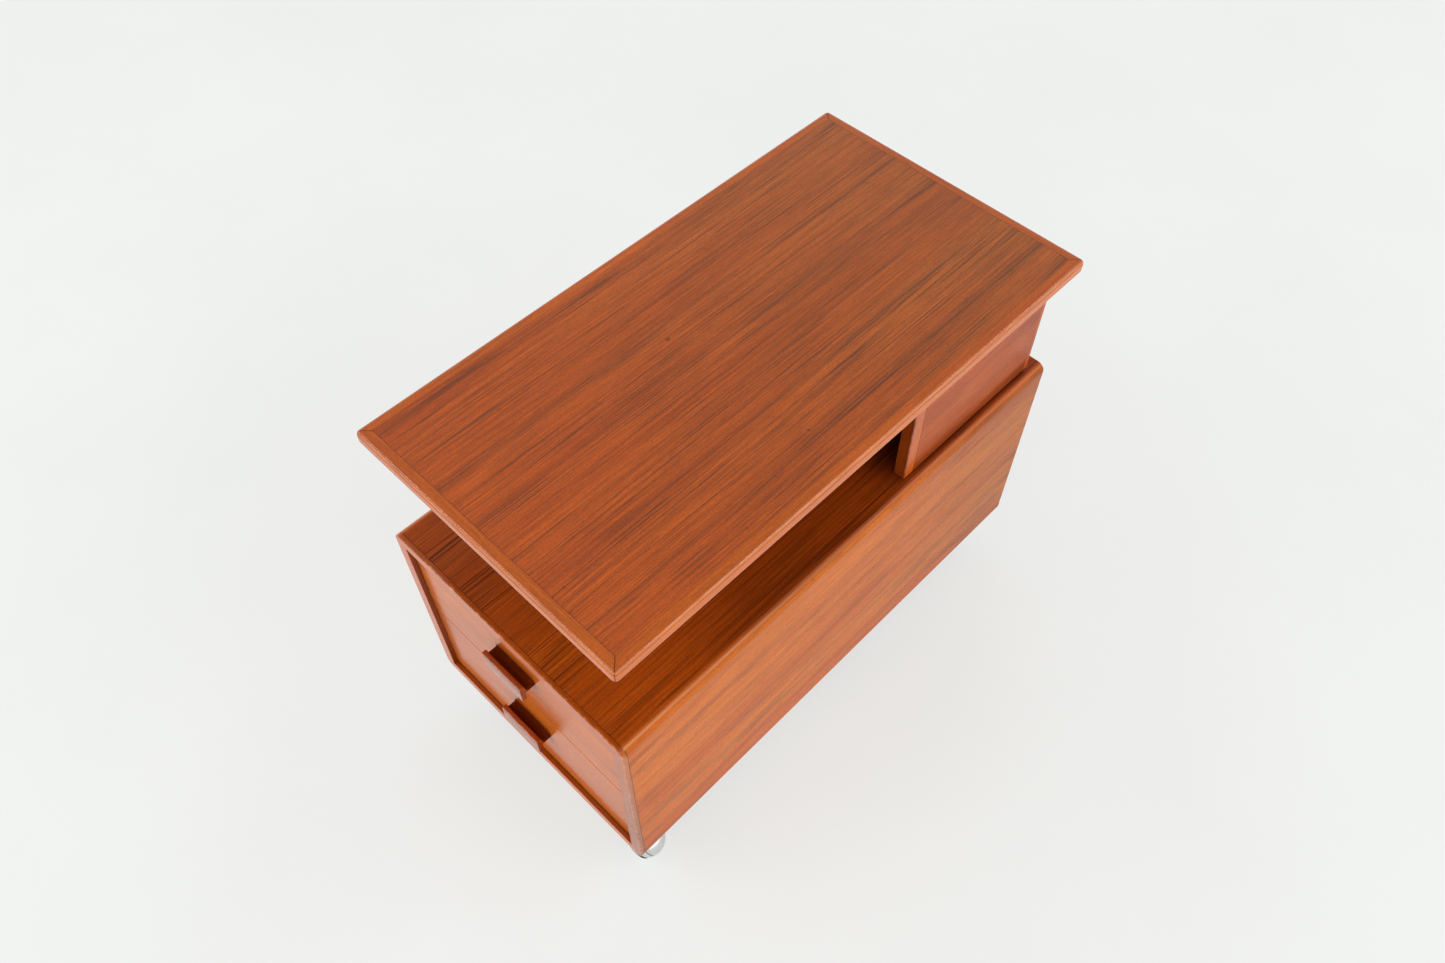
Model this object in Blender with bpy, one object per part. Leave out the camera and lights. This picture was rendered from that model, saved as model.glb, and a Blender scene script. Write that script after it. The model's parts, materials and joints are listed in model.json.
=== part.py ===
"""A teak sewing table on ball casters.

A low case with two drawers in its short end carries a raised table top on a
box-shaped riser, which is open towards the drawer end. Metres, +Z up. The
drawers face -Y, the long side runs along Y, and the origin is on the floor
under the middle of the whole table.
"""

import math

import bmesh
import bpy
from mathutils import Matrix, Vector

# Joints between touching pieces, and the running clearance of round parts.
GAP = 0.0003
RUNNING = 0.0001

# Table top: a veneered core framed by mitred solid lippings.
TOP_LENGTH = 0.760
TOP_WIDTH = 0.410
TOP_THICKNESS = 0.022
TOP_LIPPING = 0.014
TOP_CORNER_RADIUS = 0.006
TOP_UPPER_ROUND = 0.006
TOP_LOWER_ROUND = 0.008

# Heights above the floor.
CASTER_HEIGHT = 0.060
CASE_HEIGHT = 0.338
RISER_HEIGHT = 0.165

# Case, which starts just in front of the table top's front edge.
CASE_WIDTH = 0.402
CASE_LENGTH = 0.7585
CASE_OVERHANG = 0.0048
CASE_WALL = 0.018
CASE_CORNER_RADIUS = 0.012
CASE_LIPPING = 0.006
CASE_EDGE_ROUND = 0.001
CASE_INNER_ROUND = 0.0007
CASE_BACK = 0.008
CASE_BACK_INSET = 0.003

# Riser between the case and the top.
RISER_WIDTH = 0.369
RISER_FRONT = 0.479
RISER_DEPTH = 0.255
RISER_WALL = 0.016
RISER_LIPPING = 0.018
RISER_BACK = 0.008
CLEAT = 0.020
CLEAT_LENGTH = 0.180

# Drawers, side hung on runners.
DRAWER_REVEAL = 0.007
DRAWER_CLEARANCE = 0.0012
DRAWER_FRONT = 0.016
DRAWER_DEPTH = 0.690
DRAWER_SIDE = 0.012
DRAWER_BACK = 0.010
DRAWER_BOTTOM = 0.004
BOTTOM_HEIGHT = 0.009
SIDE_TOP_DROP = 0.010
SIDE_BOTTOM_RISE = 0.003
GROOVE_DEPTH = 0.005
RUNNER_HEIGHT = 0.011
RUNNER_WIDTH = 0.0065
RUNNER_PLAY = 0.0004
RUNNER_START = 0.008
RUNNER_LENGTH = 0.640

# Drawer pulls: an upright lip on a level web, with hollow curves where the two meet
# and where the web meets the drawer front. Heights are from the web's underside.
PULL_LENGTH = 0.069
PULL_DEPTH = 0.021
PULL_LIP = 0.007
PULL_UP = 0.0154
PULL_DOWN = 0.015
PULL_WEB = 0.0055
PULL_ROOT = 0.0087
PULL_FILLET = 0.004
PULL_TOP_DROP = 0.0463

# Ball casters.
BALL_RADIUS = 0.025
BALL_INSET = 0.0345
HOOD_INNER = 0.0227
WHEEL_INNER = 0.0220
TREAD_RADIUS = 0.026
TREAD_SEAT = 0.0240
TREAD_ANGLE = math.radians(60)
TREAD_HALF = math.radians(5)
WHEEL_TILT = math.radians(30)
SEAM_HALF = 0.0009
TRAIL = 0.011
HUB_RADIUS = 0.0055
AXLE_RADIUS = 0.0025
AXLE_REACH = 0.0165
STEM_RADIUS = 0.004
BOSS_RADIUS = 0.0065
PLATE_SIZE = 0.038
PLATE_THICKNESS = 0.0022
CUP_RADIUS = 0.009
CUP_DEPTH = 0.0035
ROUND_SEGMENTS = 24

# Where each caster stands (side, end) and the way it trails at rest.
CASTERS = {
    "front_right": (1, -1, math.radians(333)),
    "front_left": (-1, -1, math.radians(25)),
    "back_right": (1, 1, math.radians(168)),
    "back_left": (-1, 1, math.radians(205)),
}

# Levels and places worked out from the sizes above.
CASE_BOTTOM_Z = CASTER_HEIGHT
CASE_TOP_Z = CASE_BOTTOM_Z + CASE_HEIGHT
TOP_UNDER_Z = CASE_TOP_Z + RISER_HEIGHT
TOP_Z = TOP_UNDER_Z + TOP_THICKNESS
PULL_OVERHANG = PULL_DEPTH + CASE_OVERHANG - DRAWER_REVEAL
TOP_FRONT_Y = -(TOP_LENGTH - PULL_OVERHANG) / 2
CASE_FRONT_Y = TOP_FRONT_Y - CASE_OVERHANG
CASE_BACK_Y = CASE_FRONT_Y + CASE_LENGTH
RISER_FRONT_Y = TOP_FRONT_Y + RISER_FRONT
DRAWER_FRONT_Y = CASE_FRONT_Y + DRAWER_REVEAL
OPENING_HEIGHT = CASE_HEIGHT - 2 * CASE_WALL
DRAWER_HEIGHT = (OPENING_HEIGHT - 3 * DRAWER_CLEARANCE) / 2
DRAWER_WIDTH = CASE_WIDTH - 2 * CASE_WALL - 2 * DRAWER_CLEARANCE

TEAK_VENEER = ("teak_veneer", (0.46, 0.14, 0.05), 0.38, 0.0)
TEAK_SOLID = ("teak_solid", (0.52, 0.17, 0.05), 0.36, 0.0)
OAK = ("drawer_oak", (0.62, 0.44, 0.25), 0.55, 0.0)
PLYWOOD = ("plywood", (0.66, 0.50, 0.32), 0.60, 0.0)
CHROME = ("chrome", (0.80, 0.80, 0.80), 0.08, 1.0)
STEEL = ("steel", (0.60, 0.60, 0.60), 0.30, 1.0)
RUBBER = ("rubber", (0.03, 0.03, 0.03), 0.65, 0.0)


def clear_scene():
    for item in list(bpy.data.objects):
        bpy.data.objects.remove(item, do_unlink=True)


def material(finish):
    name, colour, roughness, metallic = finish
    found = bpy.data.materials.get(name)
    if found:
        return found
    made = bpy.data.materials.new(name)
    made.use_nodes = True
    shader = made.node_tree.nodes["Principled BSDF"]
    shader.inputs["Base Color"].default_value = (*colour, 1.0)
    shader.inputs["Roughness"].default_value = roughness
    shader.inputs["Metallic"].default_value = metallic
    return made


def empty(name, location, parent=None):
    made = bpy.data.objects.new(name, None)
    bpy.context.collection.objects.link(made)
    made.location = location
    made.parent = parent
    return made


def add_piece(name, mesh, finish, parent=None):
    """Links a mesh as an object. A parented piece is drawn around its parent's origin."""
    mesh.name = name
    if not mesh.materials:
        mesh.materials.append(material(finish))
    made = bpy.data.objects.new(name, mesh)
    bpy.context.collection.objects.link(made)
    made.parent = parent
    return made


def finish_mesh(form, smooth_angle=math.radians(30)):
    """Turns a bmesh into a mesh with outward faces, smooth across shallow edges."""
    bmesh.ops.remove_doubles(form, verts=form.verts, dist=1e-6)
    bmesh.ops.recalc_face_normals(form, faces=form.faces)
    mesh = bpy.data.meshes.new("mesh")
    form.to_mesh(mesh)
    form.free()
    mesh.shade_smooth()
    mesh.set_sharp_from_angle(angle=smooth_angle)
    return mesh


def box_mesh(low, high):
    form = bmesh.new()
    bmesh.ops.create_cube(form, size=1.0)
    low = Vector(low)
    high = Vector(high)
    size = high - low
    for vert in form.verts:
        vert.co = Vector(a * b for a, b in zip(vert.co, size)) + (low + high) / 2
    return finish_mesh(form)


def prism_mesh(outline, low, high, place):
    """Extrudes a closed outline of (a, b) pairs from low to high; place maps (a, b, c) to x, y, z."""
    form = bmesh.new()
    ends = [[form.verts.new(place(a, b, c)) for a, b in outline] for c in (low, high)]
    form.faces.new(ends[0])
    form.faces.new(reversed(ends[1]))
    count = len(outline)
    for i in range(count):
        j = (i + 1) % count
        form.faces.new((ends[0][i], ends[1][i], ends[1][j], ends[0][j]))
    return finish_mesh(form)


def lathe_mesh(profile, segments=ROUND_SEGMENTS):
    """Turns a closed (radius, height) profile about Z. Points at radius 0 close on the axis."""
    form = bmesh.new()
    ring = [form.verts.new((r, 0.0, h)) for r, h in profile]
    count = len(ring)
    edges = [form.edges.new((ring[i], ring[(i + 1) % count])) for i in range(count)]
    edges = [e for e in edges if any(v.co.x > 1e-9 for v in e.verts)]
    bmesh.ops.spin(form, geom=edges, cent=(0, 0, 0), axis=(0, 0, 1),
                   angle=2 * math.pi, steps=segments, use_merge=True)
    loose = [v for v in form.verts if not v.link_faces]
    bmesh.ops.delete(form, geom=loose, context="VERTS")
    return finish_mesh(form)


def arc(centre, radius, start, end, steps):
    """Points on an arc between two angles in degrees, both ends included."""
    angles = [math.radians(start + (end - start) * i / steps) for i in range(steps + 1)]
    return [(centre[0] + radius * math.cos(a), centre[1] + radius * math.sin(a)) for a in angles]


def soften(item, width, segments=2, angle=60):
    """Rounds the sharp edges of a piece."""
    bevel = item.modifiers.new("softened_edges", "BEVEL")
    bevel.width = width
    bevel.segments = segments
    bevel.limit_method = "ANGLE"
    bevel.angle_limit = math.radians(angle)


def frame_strip(width, height, corner, profile, side, steps, place):
    """One mitred side of a rectangular frame whose outer corners are rounded.

    The frame lies in the (u, v) plane, centred on the origin. profile is a
    closed loop of (inset from the outer edge, w), and side is 0 for the strip
    at +v, then 1, 2, 3 going round clockwise. place maps (u, v, w) to x, y, z.
    """
    across, along = (width, height) if side % 2 == 0 else (height, width)
    shrink = GAP / 2 * math.sqrt(2)

    def column(inset, k):
        end = -1 if k <= steps else 1
        if inset >= corner:
            return end * (across / 2 - inset), along / 2 - inset
        turn = k if end < 0 else 2 * steps + 1 - k
        angle = math.pi / 4 * (1 + turn / steps)
        reach = corner - inset
        u = across / 2 - corner + reach * math.cos(angle)
        return end * u, along / 2 - corner + reach * math.sin(angle)

    form = bmesh.new()
    grid = []
    for k in range(2 * steps + 2):
        ring = []
        for inset, w in profile:
            u, v = column(inset, k)
            u -= math.copysign(shrink, u)
            for _ in range(side):
                u, v = v, -u
            ring.append(form.verts.new(place(u, v, w)))
        grid.append(ring)
    count = len(profile)
    for one, two in zip(grid, grid[1:]):
        for i in range(count):
            j = (i + 1) % count
            form.faces.new((one[i], one[j], two[j], two[i]))
    form.faces.new(grid[0])
    form.faces.new(reversed(grid[-1]))
    bmesh.ops.remove_doubles(form, verts=form.verts, dist=1e-6)
    bmesh.ops.dissolve_degenerate(form, edges=form.edges, dist=1e-7)
    return finish_mesh(form)


def add_top():
    """The table top: core panel and four mitred, bullnosed lippings."""
    low, high = TOP_UNDER_Z, TOP_Z
    profile = [(TOP_LIPPING, low)]
    profile += arc((TOP_LOWER_ROUND, low + TOP_LOWER_ROUND), TOP_LOWER_ROUND, -90, -180, 5)
    profile += arc((TOP_UPPER_ROUND, high - TOP_UPPER_ROUND), TOP_UPPER_ROUND, 180, 90, 5)
    profile.append((TOP_LIPPING, high))
    centre_y = TOP_FRONT_Y + TOP_LENGTH / 2
    for side, label in enumerate(("back", "right", "front", "left")):
        mesh = frame_strip(TOP_WIDTH, TOP_LENGTH, TOP_CORNER_RADIUS, profile, side, 3,
                           lambda u, v, w: (u, v + centre_y, w))
        add_piece(f"top_{label}_lipping", mesh, TEAK_SOLID)
    half = TOP_WIDTH / 2 - TOP_LIPPING - GAP
    reach = TOP_LENGTH / 2 - TOP_LIPPING - GAP
    mesh = box_mesh((-half, centre_y - reach, low), (half, centre_y + reach, high))
    add_piece("top_panel", mesh, TEAK_VENEER)


def add_case():
    """The case: four mitred panels, their front lippings, and the back."""
    mid_z = (CASE_BOTTOM_Z + CASE_TOP_Z) / 2
    front, back = CASE_FRONT_Y, CASE_BACK_Y
    edge, inner = CASE_EDGE_ROUND, CASE_INNER_ROUND
    lipping = [(0, front + CASE_LIPPING)]
    lipping += arc((edge, front + edge), edge, 180, 270, 3)
    lipping += arc((CASE_WALL - inner, front + inner), inner, -90, 0, 2)
    lipping.append((CASE_WALL, front + CASE_LIPPING))
    start = front + CASE_LIPPING + GAP
    panel = [(0, start), (CASE_WALL, start), (CASE_WALL, back)]
    panel += arc((edge, back - edge), edge, 90, 180, 3)
    for side, label in enumerate(("top", "right", "bottom", "left")):
        for suffix, profile, finish in (("panel", panel, TEAK_VENEER), ("lipping", lipping, TEAK_SOLID)):
            mesh = frame_strip(CASE_WIDTH, CASE_HEIGHT, CASE_CORNER_RADIUS, profile, side, 4,
                               lambda u, v, w: (u, w, v + mid_z))
            add_piece(f"case_{label}_{suffix}", mesh, finish)
    half = CASE_WIDTH / 2 - CASE_WALL - GAP
    rear = CASE_BACK_Y - CASE_BACK_INSET
    low = CASE_BOTTOM_Z + CASE_WALL + GAP
    high = CASE_TOP_Z - CASE_WALL - GAP
    mesh = box_mesh((-half, rear - CASE_BACK, low), (half, rear, high))
    add_piece("case_back_panel", mesh, TEAK_VENEER)


def add_riser():
    """The riser: two lipped sides, a back that closes it, and cleats under the top."""
    low = CASE_TOP_Z + GAP
    high = TOP_UNDER_Z - GAP
    outer = RISER_WIDTH / 2
    inner = outer - RISER_WALL
    front = RISER_FRONT_Y
    back = front + RISER_DEPTH
    panel_front = front + RISER_LIPPING + GAP
    panel_back = back - RISER_BACK - GAP
    for label, sign in (("left", -1), ("right", 1)):
        span = sorted((sign * inner, sign * outer))
        mesh = box_mesh((span[0], panel_front, low), (span[1], panel_back, high))
        add_piece(f"riser_{label}_side", mesh, TEAK_VENEER)
        rounding = 0.0015
        corners = arc((span[0] + rounding, front + rounding), rounding, 180, 270, 3)
        corners += arc((span[1] - rounding, front + rounding), rounding, 270, 360, 3)
        corners += [(span[1], front + RISER_LIPPING), (span[0], front + RISER_LIPPING)]
        mesh = prism_mesh(corners, low, high, lambda x, y, z: (x, y, z))
        add_piece(f"riser_{label}_lipping", mesh, TEAK_SOLID)
        hold = sorted((sign * (inner - GAP), sign * (inner - GAP - CLEAT)))
        middle = (panel_front + panel_back) / 2
        mesh = box_mesh((hold[0], middle - CLEAT_LENGTH / 2, high - CLEAT),
                        (hold[1], middle + CLEAT_LENGTH / 2, high))
        add_piece(f"riser_{label}_cleat", mesh, OAK)
    mesh = box_mesh((-outer, back - RISER_BACK, low), (outer, back, high))
    soften(add_piece("riser_back", mesh, TEAK_VENEER), 0.001)


def pull_outline():
    """The pull's end profile as (distance out of the drawer front, height over the web's underside)."""
    lip_back = PULL_DEPTH - PULL_LIP
    small, large = 0.001, 0.0025
    root = PULL_ROOT - PULL_WEB
    outline = [(GAP, 0), (lip_back, 0)]
    outline += arc((lip_back + large, -PULL_DOWN + large), large, 180, 270, 3)
    outline += arc((PULL_DEPTH - small, -PULL_DOWN + small), small, 270, 360, 2)
    outline += arc((PULL_DEPTH - small, PULL_UP - small), small, 0, 90, 2)
    outline += arc((lip_back + large, PULL_UP - large), large, 90, 180, 3)
    outline += arc((lip_back - PULL_FILLET, PULL_WEB + PULL_FILLET), PULL_FILLET, 0, -90, 5)
    outline += arc((GAP + root, PULL_WEB + root), root, 270, 180, 4)
    return outline


def add_drawer(label, bottom_z):
    """One drawer: front, grooved sides, back, bottom and pull, all hung from one empty."""
    body = empty(f"{label}_drawer", (0, DRAWER_FRONT_Y, bottom_z))
    half = DRAWER_WIDTH / 2
    front_back = DRAWER_FRONT
    side_start = front_back + GAP
    side_low = SIDE_BOTTOM_RISE
    side_high = DRAWER_HEIGHT - SIDE_TOP_DROP
    slot_low = BOTTOM_HEIGHT - GAP
    slot_high = BOTTOM_HEIGHT + DRAWER_BOTTOM + GAP

    front = [(0, 0), (front_back, 0), (front_back, slot_low), (front_back - GROOVE_DEPTH, slot_low),
             (front_back - GROOVE_DEPTH, slot_high), (front_back, slot_high),
             (front_back, DRAWER_HEIGHT), (0, DRAWER_HEIGHT)]
    mesh = prism_mesh(front, -half, half, lambda y, z, x: (x, y, z))
    soften(add_piece(f"{label}_drawer_front", mesh, TEAK_VENEER, body), 0.0008)

    mid = runner_height()
    slide_low = mid - RUNNER_HEIGHT / 2 - RUNNER_PLAY
    slide_high = mid + RUNNER_HEIGHT / 2 + RUNNER_PLAY
    slide_depth = RUNNER_WIDTH - DRAWER_CLEARANCE + 2 * RUNNER_PLAY
    for name, sign in (("left", -1), ("right", 1)):
        outline = [(half, side_low), (half - DRAWER_SIDE, side_low),
                   (half - DRAWER_SIDE, slot_low), (half - DRAWER_SIDE + GROOVE_DEPTH, slot_low),
                   (half - DRAWER_SIDE + GROOVE_DEPTH, slot_high), (half - DRAWER_SIDE, slot_high),
                   (half - DRAWER_SIDE, side_high), (half, side_high),
                   (half, slide_high), (half - slide_depth, slide_high),
                   (half - slide_depth, slide_low), (half, slide_low)]
        mesh = prism_mesh(outline, side_start, DRAWER_DEPTH, lambda x, z, y: (sign * x, y, z))
        add_piece(f"{label}_drawer_{name}_side", mesh, OAK, body)

    inside = half - DRAWER_SIDE - GAP
    mesh = box_mesh((-inside, DRAWER_DEPTH - DRAWER_BACK, slot_high), (inside, DRAWER_DEPTH, side_high))
    add_piece(f"{label}_drawer_back", mesh, OAK, body)
    reach = half - DRAWER_SIDE + GROOVE_DEPTH - GAP
    mesh = box_mesh((-reach, front_back - GROOVE_DEPTH + GAP, BOTTOM_HEIGHT),
                    (reach, DRAWER_DEPTH, BOTTOM_HEIGHT + DRAWER_BOTTOM))
    add_piece(f"{label}_drawer_bottom", mesh, PLYWOOD, body)

    web_z = DRAWER_HEIGHT - PULL_TOP_DROP - PULL_UP
    mesh = prism_mesh(pull_outline(), -PULL_LENGTH / 2, PULL_LENGTH / 2,
                      lambda out, z, x: (x, -out, z + web_z))
    soften(add_piece(f"{label}_drawer_pull", mesh, TEAK_SOLID, body), 0.0006, segments=1)


def runner_height():
    """The runner's centre line above its drawer's lower edge."""
    return (SIDE_BOTTOM_RISE + DRAWER_HEIGHT - SIDE_TOP_DROP) / 2


def add_runners(label, drawer_z):
    """A strip on each case wall that carries the drawer in its grooved sides."""
    wall = CASE_WIDTH / 2 - CASE_WALL - GAP
    start = DRAWER_FRONT_Y + DRAWER_FRONT + RUNNER_START
    mid = drawer_z + runner_height()
    for name, sign in (("left", -1), ("right", 1)):
        span = sorted((sign * wall, sign * (wall - RUNNER_WIDTH + GAP)))
        mesh = box_mesh((span[0], start, mid - RUNNER_HEIGHT / 2),
                        (span[1], start + RUNNER_LENGTH, mid + RUNNER_HEIGHT / 2))
        add_piece(f"runner_{label}_{name}", mesh, OAK)


def polar(radius, angle):
    """A point of a turned profile on a sphere, by its angle from the pole."""
    return (radius * math.sin(angle), radius * math.cos(angle))


def dome(radius, start, end, steps):
    return [polar(radius, start + (end - start) * i / steps) for i in range(steps + 1)]


def wheel_mesh():
    """A domed wheel with a tread seat, an inner hub and a blind axle bore."""
    bore = AXLE_RADIUS + RUNNING
    rim = math.acos(SEAM_HALF / BALL_RADIUS)
    seat_low = TREAD_ANGLE - TREAD_HALF
    seat_high = TREAD_ANGLE + TREAD_HALF
    profile = dome(BALL_RADIUS, 0, seat_low, 5)
    profile += dome(TREAD_SEAT, seat_low, seat_high, 1)
    profile += dome(BALL_RADIUS, seat_high, rim, 2)
    inner_rim = math.acos(SEAM_HALF / WHEEL_INNER)
    hub = math.asin(HUB_RADIUS / WHEEL_INNER)
    profile += dome(WHEEL_INNER, inner_rim, hub, 4)
    profile += [(HUB_RADIUS, SEAM_HALF), (bore, SEAM_HALF)]
    profile += [(bore, AXLE_REACH + GAP), (0, AXLE_REACH + GAP)]
    return lathe_mesh(profile)


def tread_mesh():
    """The tyre: a low band that stands just proud of the dome and touches the floor."""
    clear = GAP / BALL_RADIUS
    low = TREAD_ANGLE - TREAD_HALF + clear
    high = TREAD_ANGLE + TREAD_HALF - clear
    outer = [polar(BALL_RADIUS, low), polar(TREAD_RADIUS, low + TREAD_HALF / 2)]
    outer += [polar(TREAD_RADIUS, TREAD_ANGLE), polar(TREAD_RADIUS, high - TREAD_HALF / 2)]
    outer += [polar(BALL_RADIUS, high)]
    inner = [polar(TREAD_SEAT + GAP, high), polar(TREAD_SEAT + GAP, low)]
    return lathe_mesh(outer + inner)


def hood_mesh(spin):
    """The hood: a half ball with an axle hub, joined to the swivel stem and its boss.

    spin is the matrix from the wheel's frame to the swivel's.
    """
    bore = AXLE_RADIUS + RUNNING
    rim = math.pi - math.acos(SEAM_HALF / BALL_RADIUS)
    inner_rim = math.pi - math.acos(SEAM_HALF / HOOD_INNER)
    hub = math.pi - math.asin(HUB_RADIUS / HOOD_INNER)
    profile = dome(BALL_RADIUS, rim, math.pi, 7)
    profile[-1] = (0, -BALL_RADIUS)
    profile += [(0, -AXLE_REACH - GAP), (bore, -AXLE_REACH - GAP), (bore, -SEAM_HALF)]
    profile += [(HUB_RADIUS, -SEAM_HALF)]
    profile += dome(HOOD_INNER, hub, inner_rim, 4)
    shell = bpy.data.objects.new("hood_shell", lathe_mesh(profile))
    shell.data.transform(spin)

    centre_z = TREAD_RADIUS
    cup_z = CASTER_HEIGHT - GAP - PLATE_THICKNESS - CUP_DEPTH
    boss_top = cup_z - 0.0012
    stem_top = CASTER_HEIGHT - 2 * GAP
    boss_low = centre_z + 0.016
    post = [(0, boss_low), (BOSS_RADIUS, boss_low), (BOSS_RADIUS, boss_top),
            (STEM_RADIUS, boss_top), (STEM_RADIUS, stem_top), (0, stem_top)]
    stem = bpy.data.objects.new("hood_stem", lathe_mesh(post))
    stem.display_type = "WIRE"
    stem.hide_render = True
    for item in (shell, stem):
        bpy.context.collection.objects.link(item)
    join = shell.modifiers.new("join_stem", "BOOLEAN")
    join.operation = "UNION"
    join.solver = "EXACT"
    join.object = stem
    bpy.context.view_layer.update()
    graph = bpy.context.evaluated_depsgraph_get()
    mesh = bpy.data.meshes.new_from_object(shell.evaluated_get(graph))
    for item in (shell, stem):
        bpy.data.objects.remove(item, do_unlink=True)
    mesh.shade_smooth()
    mesh.set_sharp_from_angle(angle=math.radians(30))
    return mesh


def plate_mesh():
    """The mounting plate with the bearing cup that the stem turns in."""
    under = CASTER_HEIGHT - GAP - PLATE_THICKNESS
    bore = STEM_RADIUS + RUNNING
    half = PLATE_SIZE / 2
    form = bmesh.new()
    top = CASTER_HEIGHT - GAP
    angles = [2 * math.pi * (i + 0.5) / ROUND_SEGMENTS for i in range(ROUND_SEGMENTS)]

    def ring(radius, z):
        return [form.verts.new((radius * math.cos(a), radius * math.sin(a), z)) for a in angles]

    def square(z):
        made = []
        for a in angles:
            stretch = half / max(abs(math.cos(a)), abs(math.sin(a)))
            stretch = min(stretch, half * 1.25)
            made.append(form.verts.new((stretch * math.cos(a), stretch * math.sin(a), z)))
        return made

    loops = [ring(bore, top), square(top), square(under), ring(CUP_RADIUS, under),
             ring(CUP_RADIUS, under - CUP_DEPTH), ring(bore, under - CUP_DEPTH)]
    for one, two in zip(loops, loops[1:] + loops[:1]):
        for i in range(ROUND_SEGMENTS):
            j = (i + 1) % ROUND_SEGMENTS
            form.faces.new((one[i], one[j], two[j], two[i]))
    return finish_mesh(form)


def add_casters():
    """Four ball casters. Each hood swivels on its stem, and each wheel spins on a tilted axle."""
    tip = Matrix.Rotation(math.pi / 2 + WHEEL_TILT, 4, "X")
    spin = Matrix.Translation((TRAIL, 0, TREAD_RADIUS)) @ tip
    meshes = {"wheel": wheel_mesh(), "tread": tread_mesh(), "hood": hood_mesh(spin), "plate": plate_mesh(),
              "axle": lathe_mesh([(0, -AXLE_REACH), (AXLE_RADIUS, -AXLE_REACH),
                                  (AXLE_RADIUS, AXLE_REACH), (0, AXLE_REACH)])}
    finishes = {"wheel": CHROME, "tread": RUBBER, "hood": CHROME, "plate": STEEL, "axle": STEEL}
    middle_y = (CASE_FRONT_Y + CASE_BACK_Y) / 2
    for label, (side, end, heading) in CASTERS.items():
        name = f"caster_{label}"
        stand = (side * (CASE_WIDTH / 2 - BALL_INSET), middle_y + end * (CASE_LENGTH / 2 - BALL_INSET), 0)
        seat = empty(f"{name}_seat", stand)
        swivel = empty(f"{name}_swivel", (0, 0, 0), seat)
        swivel.rotation_euler = (0, 0, heading)
        axis = empty(f"{name}_spin", (TRAIL, 0, TREAD_RADIUS), swivel)
        axis.rotation_euler = (math.pi / 2 + WHEEL_TILT, 0, 0)
        parents = {"wheel": axis, "tread": axis, "axle": axis, "hood": swivel, "plate": seat}
        for kind, mesh in meshes.items():
            add_piece(f"{name}_{kind}", mesh, finishes[kind], parents[kind])


def build():
    clear_scene()
    add_top()
    add_case()
    add_riser()
    lower_z = CASE_BOTTOM_Z + CASE_WALL + DRAWER_CLEARANCE
    upper_z = lower_z + DRAWER_HEIGHT + DRAWER_CLEARANCE
    for label, bottom_z in (("lower", lower_z), ("upper", upper_z)):
        add_drawer(label, bottom_z)
        add_runners(label, bottom_z)
    add_casters()


build()
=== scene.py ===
"""The looks of the teak sewing table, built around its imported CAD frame.

Rounded wood pieces and the casters are remade with finer curves. Flat pieces
keep their CAD mesh and get softened edges. All wood, metal and rubber is
procedural, and its grain is laid out in the object's own coordinates.
"""

import json
import math

import bmesh
import bpy
from mathutils import Matrix, Vector


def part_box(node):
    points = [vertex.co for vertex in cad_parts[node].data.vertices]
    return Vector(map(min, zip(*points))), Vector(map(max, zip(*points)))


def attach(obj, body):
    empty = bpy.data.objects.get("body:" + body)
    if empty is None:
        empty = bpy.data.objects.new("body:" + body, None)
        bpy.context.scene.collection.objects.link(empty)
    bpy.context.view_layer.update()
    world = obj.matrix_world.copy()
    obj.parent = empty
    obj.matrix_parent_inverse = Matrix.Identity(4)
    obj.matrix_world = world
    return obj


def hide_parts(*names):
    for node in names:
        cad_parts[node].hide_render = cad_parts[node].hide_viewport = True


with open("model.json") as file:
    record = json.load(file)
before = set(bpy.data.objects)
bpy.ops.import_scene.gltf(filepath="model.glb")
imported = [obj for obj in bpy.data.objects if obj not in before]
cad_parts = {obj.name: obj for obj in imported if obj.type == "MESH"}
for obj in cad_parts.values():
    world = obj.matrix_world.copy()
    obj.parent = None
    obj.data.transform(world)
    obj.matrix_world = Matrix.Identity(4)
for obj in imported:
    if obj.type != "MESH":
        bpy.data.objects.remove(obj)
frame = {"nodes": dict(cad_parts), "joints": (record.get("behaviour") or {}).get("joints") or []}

NODES = frame["nodes"]
bpy.context.view_layer.update()

# Visible joints between finished wooden pieces.
JOINT = 0.00008

# Faces that meet at a sharper angle than this keep a crisp edge.
CRISP_ANGLE = math.radians(32)

# Vertices closer than this are one, edges shorter than this have no length,
# and a turned profile's points closer to the axis than this are on it.
SAME_PLACE = 1e-7
NO_LENGTH = 1e-8
ON_AXIS = 1e-9

# The CAD mesh's vertices are welded within this before its edges are softened.
WELD_REACH = 0.00001

# Rounded sections, as the CAD has them.
TOP_CORNER_RADIUS = 0.006
TOP_UPPER_ROUND = 0.006
TOP_LOWER_ROUND = 0.008
CASE_CORNER_RADIUS = 0.012
CASE_EDGE_ROUND = 0.001
CASE_INNER_ROUND = 0.0007
RISER_EDGE_ROUND = 0.0015
CORNER_STEPS = 10

# Drawer pull section, with heights from the underside of its web.
PULL_DEPTH = 0.021
PULL_LIP = 0.007
PULL_UP = 0.0154
PULL_DOWN = 0.015
PULL_WEB = 0.0055
PULL_ROOT = 0.0087
PULL_FILLET = 0.004
PULL_SEAT = 0.0002
PULL_FRONT_ROUND = 0.001
PULL_BACK_ROUND = 0.0025

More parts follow.
